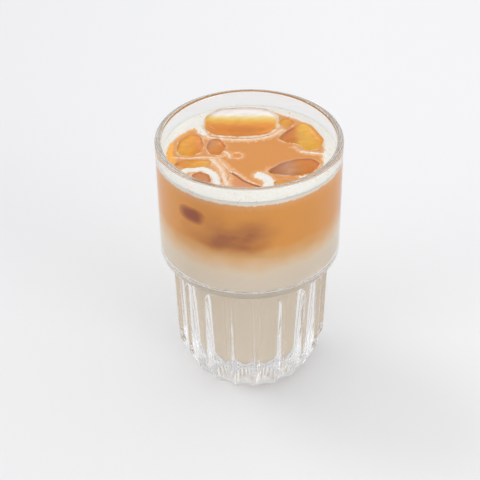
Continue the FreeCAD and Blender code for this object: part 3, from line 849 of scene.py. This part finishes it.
def froth(x, y, spread=0.0):
    """Thickness of the foam over the drink, 0 for none and 1 for full, reaching wider by a spread."""
    radius = np.hypot(x, y)
    angle = np.degrees(np.arctan2(y, x)) % 360.0
    edge = np.interp(angle, [a for a, r in FOAM_EDGE], [r for a, r in FOAM_EDGE], period=360.0)
    wavering = ripple(x, y, 3.1, 3) * 0.35 + ripple(x, y, 1.4, 5) * 0.22
    # the ring along the wall
    amount = smooth_step(-0.5 - spread, 1.1, radius - edge + wavering)
    # a thinner rim round each block of ice
    for name, block in ICE.items():
        share, reach = share_of_block(name, x, y)
        beyond = (share - 1.0) * reach
        width = block["foam"] * (1.0 + 0.35 * ripple(x, y, 9.0, 11))
        rim = smooth_step(-0.25, 0.15, beyond) * (
            1.0 - smooth_step(width * 0.45, width + 0.25 + spread, beyond + wavering * 0.5))
        amount = np.maximum(amount, rim * (0.46 + 0.20 * ripple(x, y, 7.0, 13)))
    for width, strength, points in FOAM_STROKES:
        away = distance_to_line(points, x, y) + wavering * min(width, 1.2) * 0.8
        amount = np.maximum(amount, strength * (1.0 - smooth_step(width * 0.5, width * 1.15 + spread, away)))
    # thin foam has holes in it, and there is none over the ice
    holes = smooth_step(0.55, 0.95, ripple(x, y, 1.9, 17)) * (1.0 - smooth_step(0.85, 1.0, amount))
    amount = amount * (1.0 - 0.6 * holes)
    for name in ICE:
        share, reach = share_of_block(name, x, y)
        amount = amount * smooth_step(-0.35, 0.05, (share - 1.0) * reach)
    return amount


def coffee_height(x, y):
    """Height of the coffee's surface: level, hollows for the ice, and a lip 0.5 high at the wall."""
    lip = 0.5 * np.exp(-(DRINK_EDGE - np.hypot(x, y)) / 0.8)
    return DRINK_LEVEL - hollow_depth(x, y) + lip + 0.04 * ripple(x, y, 14.0, 19)


def mixed_tone(stops, part):
    """Colours along (place, hex) stops for an array of places."""
    places = [place for place, code in stops]
    tones = np.array([linear(code) for place, code in stops])
    return np.stack([np.interp(part, places, tones[:, channel]) for channel in range(3)], axis=-1)


def wall_radius(height):
    """Inside radius of the tumbler above the ledge."""
    return LEDGE[0] + (height - LEDGE[1]) * (RIM - RIM_WALL - LEDGE[0]) / (GLASS_TOP - LEDGE[1])


def surface_rings(outer):
    """Radii of the rings of the drink's surface, from the wall inwards."""
    count = round(outer / RING_SPACING)
    return [outer * (1.0 - step / count) for step in range(count)]


def lay_over(paint, tone, amount):
    """Lay a colour over the paint at a strength for each point."""
    kept = paint[:, 3] * (1.0 - amount)
    total = np.maximum(kept + amount, 1e-9)
    mixed = (paint[:, :3] * kept[:, None] + tone * amount[:, None]) / total[:, None]
    paint[:, :3] = np.where((amount > 0.0)[:, None], mixed, paint[:, :3])
    paint[:, 3] = kept + amount


def paint_brew(points, colours):
    """Colours on the coffee's points: haze by the foam, tints with a painted glow among them, a paler collar,
    and painted glow with painted shade in the ice's hollows.
    """
    x, y, z = points.T
    pale = np.array(colours.thin_foam[:3])
    paint = np.zeros((len(points), 4))
    paint[:, :3] = pale
    # a haze of fine foam fades into the coffee, over the surface and below the collar at the wall
    haze = 0.8 * froth(x, y, 1.6)
    wavering = 0.8 * ripple(x, y, 3.4, 53) + 0.5 * ripple(x, y, 1.3, 59)
    for half_width, strength, route in HAZE:
        away = distance_to_line(route, x, y) + wavering
        haze = np.maximum(haze, strength * (1.0 - smooth_step(0.3 * half_width, 1.4 * half_width, away)))
    on_top = np.hypot(x, y) < wall_radius(DRINK_LEVEL) - 0.2
    collar = smooth_step(DRINK_LEVEL - 4.0, DRINK_LEVEL - 2.2, z + 0.35 * ripple(x, y, 2.6, 61))
    lay_over(paint, pale, np.where(on_top, haze, 0.28 * collar))
    for half_width, strength, code, route in TINTS:
        away = distance_to_line(route, x, y) + 0.25 * wavering * min(half_width, 1.0)
        amount = strength * (1.0 - smooth_step(0.6 * half_width, 1.4 * half_width, away))
        lay_over(paint, np.array(linear(code)[:3]), amount * on_top)
    for name, block in ICE.items():
        share, edge = share_of_block(name, x, y)
        part = place_in_block(name, x, y, block["heading"]) + 0.02 * ripple(x, y, 6.0, 23)
        # painted light in the hollow: a little darker deeper down as painted shade, and paler and darker
        # patches as painted light off the ice's facets
        deep = smooth_step(0.0, 1.0, (DRINK_LEVEL - z) / block["depth"])
        inside = smooth_step(0.02, -0.02, share - 1.0) * (z > DRINK_LEVEL - block["depth"] - 1.0)
        painted_facet_light = 0.06 * ripple(x, y, 4.6, 67) + 0.02 * ripple(x, y, 1.9, 71)
        tone = mixed_tone(block["tones"], part) * (1.0 - 0.10 * deep + painted_facet_light)[:, None]
        lay_over(paint, tone, inside)
        # painted shade: a darker line just inside each block's outline, for the light that the ice's rounded
        # edge bends away
        painted_edge_shade = np.exp(-((share - 0.96) * edge / 0.55) ** 2) * (0.5 + 0.25 * ripple(x, y, 5.0, 73))
        painted_edge_shade = np.clip(painted_edge_shade, 0.0, 1.0) * inside * (paint[:, 3] > 0.5)
        lay_over(paint, tone * np.array((0.70, 0.52, 0.42)), painted_edge_shade)
    return paint


def foam_faces(covered):
    """Faces of a foam layer over the covered cells of a grid of rings.

    The points of its underside are numbered after those of its top.
    """
    rows, count = covered.shape
    half = (rows + 1) * count
    faces = []
    for row in range(rows):
        for step in np.flatnonzero(covered[row]).tolist():
            following = (step + 1) % count
            a, b = row * count + step, row * count + following
            c, d = a + count, b + count
            faces += [(a, b, d, c), (half + a, half + c, half + d, half + b)]
            # a side wherever the next cell is bare
            if row == 0 or not covered[row - 1, step]:
                faces.append((a, half + a, half + b, b))
            if row == rows - 1 or not covered[row + 1, step]:
                faces.append((c, d, half + d, half + c))
            if not covered[row, step - 1]:
                faces.append((a, c, half + c, half + a))
            if not covered[row, following]:
                faces.append((b, half + b, half + d, d))
    return faces


class LATTE_OT_glass(bpy.types.Operator):
    """Turn the tumbler and press its flutes"""

    bl_idname = "latte.glass"
    bl_label = "Tumbler"

    def execute(self, context):
        sizes = context.scene.latte.glass
        outside = outside_profile()
        profile = outside + cavity_profile()[::-1][1:]
        count = sizes.flute_count * STEPS_PER_FLUTE
        points, faces = turned(profile, count)
        glass = pressed_glass()
        blank = plain_piece("blank", points, faces, glass)
        cutters = []
        for at, (radius, height) in enumerate(profile):
            fluted = len(DISH) <= at < len(outside)
            cutter = flute_cutter(height, sizes) if fluted else (0.0, 0.0, 0.0)
            cutters += [cutter] * (1 if radius == 0.0 else count)
        for name, values in zip(CUTTER_FIELDS, np.array(cutters).T):
            set_field(blank, name, values)
        tree, identifiers = flute_tree()
        tumbler = shaped("tumbler", blank, tree, identifiers, {
            "Flutes": sizes.flute_count, "Turn": sizes.flute_turn, "Ridge softness": sizes.ridge_soft,
            "Material": glass})
        bpy.data.objects.remove(blank)
        for name in CUTTER_FIELDS:
            tumbler.data.attributes.remove(tumbler.data.attributes[name])
        stand_for(tumbler, "clear_glass", "glass")
        return {"FINISHED"}


class LATTE_OT_drink(bpy.types.Operator):
    """Pour the milk and the coffee, wetting the glass"""

    bl_idname = "latte.drink"
    bl_label = "Milk and coffee"

    def execute(self, context):
        settings = context.scene.latte
        overlap = settings.drink.wall_overlap / MM
        finish = latte_material(settings.colours)
        meeting = (wall_radius(MILK_LEVEL) + overlap, MILK_LEVEL)
        # the drink reaches into the wall, and into the floor as far as its rounded corner goes
        corner = FLOOR_LEVEL + FLOOR_ROUND
        profile = [(r + (overlap if r else 0.0), z - (overlap if z < corner else 0.0))
                   for r, z in cavity_profile() if z < MILK_LEVEL - 0.5]
        points, faces = turned(profile + [meeting, (0.0, MILK_LEVEL)], MILK_STEPS)
        milk = plain_piece("milk_layer", points, faces, finish, range(len(faces) - MILK_STEPS, len(faces)))
        crisp_edges(milk, points[:, 2] > MILK_LEVEL - SAME)
        set_field(milk, "brew", np.zeros((len(points), 4)))
        set_field(milk, "wetting", np.ones(len(points)))
        stand_for(milk, "milk", "milk")

        top_edge = (wall_radius(DRINK_LEVEL) + overlap, DRINK_LEVEL - 0.3)
        profile = [(0.0, MILK_LEVEL), meeting] + line(meeting, top_edge, WALL_ROWS)
        # the points from this one on lie on the surface
        surface = 1 + (len(profile) - 1) * SURFACE_STEPS
        profile += [(radius, DRINK_LEVEL) for radius in surface_rings(wall_radius(DRINK_LEVEL))]
        points, faces = turned(profile + [(0.0, DRINK_LEVEL)], SURFACE_STEPS)
        points[surface:, 2] = coffee_height(points[surface:, 0], points[surface:, 1])
        coffee = plain_piece("coffee_layer", points, faces, finish, range(SURFACE_STEPS))
        crisp_edges(coffee, points[:, 2] < MILK_LEVEL + SAME)
        set_field(coffee, "brew", paint_brew(points, settings.colours))
        set_field(coffee, "wetting", np.arange(len(points)) < surface)
        stand_for(coffee, "coffee", "coffee")
        return {"FINISHED"}


class LATTE_OT_ice(bpy.types.Operator):
    """Float the melting ice at the surface"""

    bl_idname = "latte.ice"
    bl_label = "Ice at the surface"

    def execute(self, context):
        finish = clear_ice()
        turns = np.arange(ICE_STEPS) * 360.0 / ICE_STEPS
        tilts = np.radians(np.linspace(-90.0, 90.0, 37)[1:-1])
        for seed, (name, block) in enumerate(ICE.items(), start=31):
            centre = OUTLINES[name][0]
            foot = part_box(name)[0][2] / MM
            edge = edge_radius(name, turns)
            points = [(centre[0], centre[1], foot)]
            for tilt in tilts:
                # the block is fuller below the drink than above it
                power, reach = (1.0 / 2.5, block["rise"]) if tilt > 0 else (1.0 / 3.0, foot - DRINK_LEVEL)
                share = math.cos(tilt) ** power
                height = abs(math.sin(tilt)) ** power * reach
                x = centre[0] + share * edge * np.cos(np.radians(turns))
                y = centre[1] + share * edge * np.sin(np.radians(turns))
                melt = 0.10 * ripple(x, y, 7.0, seed) * (tilt > 0) * (1.0 - share ** 4)
                points += list(zip(x, y, DRINK_LEVEL + height + melt))
            points.append((centre[0], centre[1], DRINK_LEVEL + block["rise"]))
            piece = plain_piece("melting_" + name, points, shell_faces(len(tilts), ICE_STEPS), finish)
            stand_for(piece, "ice", name)
        return {"FINISHED"}


class LATTE_OT_sunk_ice(bpy.types.Operator):
    """Sink ice in the coffee against the wall"""

    bl_idname = "latte.sunk_ice"
    bl_label = "Sunk ice"

    def execute(self, context):
        settings = context.scene.latte
        finish = sunk_ice_material(settings.colours)
        overlap = settings.drink.wall_overlap / MM
        # rings out over the inner side, which bulges into the coffee, and back over the one at the wall
        rings = 18
        rows = [(ring / rings, -4.0) for ring in range(rings)]
        rows += [(ring / rings, 0.03) for ring in range(rings, -1, -1)]
        for name, azimuth, height, half_width, half_height in SUNK_ICE:
            points, hearts = [], []
            for share, bulge in rows:
                for step in range(SUNK_ICE_STEPS if share else 1):
                    turn = TAU * step / SUNK_ICE_STEPS
                    wide = math.copysign(abs(math.cos(turn)) ** 0.8, math.cos(turn))
                    tall = math.copysign(abs(math.sin(turn)) ** 0.8, math.sin(turn))
                    z = height + tall * share * half_height
                    angle = math.radians(azimuth - 90.0) + wide * share * half_width / wall_radius(z)
                    radius = wall_radius(z) + overlap - 0.01 + (1.0 - share ** 2) * bulge
                    points.append((radius * math.cos(angle), radius * math.sin(angle), z))
                    hearts.append(1.0 - share)
            piece = plain_piece(name, points, shell_faces(len(rows) - 2, SUNK_ICE_STEPS), finish)
            set_field(piece, "heart", hearts)
            stand_for(piece, "ice")
        return {"FINISHED"}


class LATTE_OT_foam(bpy.types.Operator):
    """Spread the foam along the wall, round the ice and over the coffee"""

    bl_idname = "latte.foam"
    bl_label = "Foam"

    def execute(self, context):
        settings = context.scene.latte
        overlap = settings.drink.wall_overlap / MM
        high = settings.drink.foam_height / MM
        skirt = settings.drink.foam_skirt / MM
        radii = np.array(surface_rings(wall_radius(DRINK_LEVEL) + overlap + 0.05)[:-BARE_RINGS])
        turns = np.arange(SURFACE_STEPS) * TAU / SURFACE_STEPS
        x = radii[:, None] * np.cos(turns)
        y = radii[:, None] * np.sin(turns)
        amount = froth(x, y)
        base = coffee_height(x, y)
        crown = base - 0.24 + amount * high + 0.06 * amount * ripple(x, y, 1.2, 41)
        under = np.minimum(base - 0.7, crown - 0.4)
        # at the wall the foam hangs lower, with a ragged edge
        ragged = skirt * (0.5 * ripple(x[0], y[0], 5.5, 43) + 0.4 * ripple(x[0], y[0], 1.7, 47))
        under[0] = FOAM_FOOT + 0.6 + ragged
        under[1] = np.minimum(under[1], DRINK_LEVEL - 0.9)
        # a cell of the grid is covered where any of its four corners has foam
        kept = amount > 0.02
        covered = kept[:-1] | kept[1:]
        covered = covered | np.roll(covered, -1, axis=1)
        used, corners = np.unique(np.array(foam_faces(covered)), return_inverse=True)
        points = np.concatenate([np.stack([x, y, z], axis=-1).reshape(-1, 3) for z in (crown, under)])
        faces = corners.reshape(-1, 4).tolist()
        piece = plain_piece("foam_lace", points[used], faces, foam_material(settings.colours))
        thin_foot = amount.copy()
        thin_foot[0] = 0.44
        set_field(piece, "froth", np.concatenate([amount, thin_foot]).ravel()[used])
        crisp_edges(piece, (used >= amount.size) & (used < amount.size + SURFACE_STEPS))
        stand_for(piece, "foam", "foam")
        return {"FINISHED"}


class LATTE_OT_bubbles(bpy.types.Operator):
    """Scatter small bubbles over the foam"""

    bl_idname = "latte.bubbles"
    bl_label = "Bubbles"

    def execute(self, context):
        settings = context.scene.latte
        tree, identifiers = bubble_tree()
        bubbles = shaped("foam_bubbles", bpy.data.objects["foam_lace"], tree, identifiers, {
            "Share": settings.drink.bubble_share, "Largest": settings.drink.bubble_size,
            "Seed": settings.drink.seed, "Material": bubble_material(settings.colours)})
        stand_for(bubbles, "foam")
        return {"FINISHED"}


class LATTE_OT_stage(bpy.types.Operator):
    """Set the floor, the lamps and the camera"""

    bl_idname = "latte.stage"
    bl_label = "Stage"

    def execute(self, context):
        scene = context.scene
        reach = 3000.0
        corners = [(-reach, -reach, 0.0), (reach, -reach, 0.0), (reach, reach, 0.0), (-reach, reach, 0.0)]
        floor = plain_piece("floor", corners, [(0, 1, 2, 3)], floor_material(scene.latte.colours), (0,))
        world = bpy.data.worlds.new("soft daylight")
        world.use_nodes = True
        sky = world.node_tree.nodes["Background"]
        sky.inputs["Color"].default_value = (0.985, 0.99, 1.0, 1.0)
        sky.inputs["Strength"].default_value = 0.88
        scene.world = world
        # places and sizes in metres, powers in watts
        for name, place, size, power in (
            ("window", (-2.4, 1.6, 3.2), 1.8, 28.0),
            ("fill on the right", (2.0, -1.7, 1.1), 1.4, 13.0),
            ("fill on the left", (-2.2, -1.4, 1.0), 1.4, 9.0),
        ):
            lamp = bpy.data.lights.new(name, "AREA")
            lamp.shape = "DISK"
            lamp.size = size
            lamp.energy = power
            holder = shown(name, lamp)
            holder.location = place
            aim = Vector((0.0, 0.0, 0.05)) - Vector(place)
            holder.rotation_euler = aim.to_track_quat("-Z", "Y").to_euler()
        lens = bpy.data.cameras.new("camera")
        lens.sensor_width = 36.0
        lens.lens = 108.64
        lens.shift_x = -0.0542
        lens.clip_start = 0.01
        camera = shown("camera", lens)
        camera.location = (7.514 * MM, -549.402 * MM, 473.258 * MM)
        camera.rotation_euler = (math.radians(90.0 - 36.384), 0.0, 0.0)
        scene.camera = camera
        scene.view_settings.view_transform = "Standard"
        # light is followed far enough to leave a thick rim again
        scene.cycles.max_bounces = 40
        scene.cycles.glossy_bounces = 30
        scene.cycles.transmission_bounces = 36
        return {"FINISHED"}


OPERATORS = (
    LATTE_OT_glass, LATTE_OT_drink, LATTE_OT_ice, LATTE_OT_sunk_ice, LATTE_OT_foam, LATTE_OT_bubbles,
    LATTE_OT_stage)


class LATTE_PT_parts(bpy.types.Panel):
    """Lists the pieces and their sizes"""

    bl_idname = "LATTE_PT_parts"
    bl_label = "Iced Latte"
    bl_space_type = "VIEW_3D"
    bl_region_type = "UI"
    bl_category = "Latte"

    def draw(self, context):
        for group in (context.scene.latte.glass, context.scene.latte.drink, context.scene.latte.colours):
            column = self.layout.column(align=True)
            for name in group.__annotations__:
                column.prop(group, name)
        for operator in OPERATORS:
            self.layout.operator(operator.bl_idname)


CLASSES = (LatteGlass, LatteDrink, LatteColours, LatteSettings) + OPERATORS + (LATTE_PT_parts,)


def register():
    """Make the classes and the settings known."""
    for item in CLASSES:
        bpy.utils.register_class(item)
    bpy.types.Scene.latte = bpy.props.PointerProperty(type=LatteSettings)


def unregister():
    """Take the settings and the classes away."""
    del bpy.types.Scene.latte
    for item in reversed(CLASSES):
        bpy.utils.unregister_class(item)


def main():
    """Build every piece in order."""
    register()
    for operator in OPERATORS:
        getattr(bpy.ops.latte, operator.bl_idname.split(".")[1])()


if __name__ == "__main__":
    main()
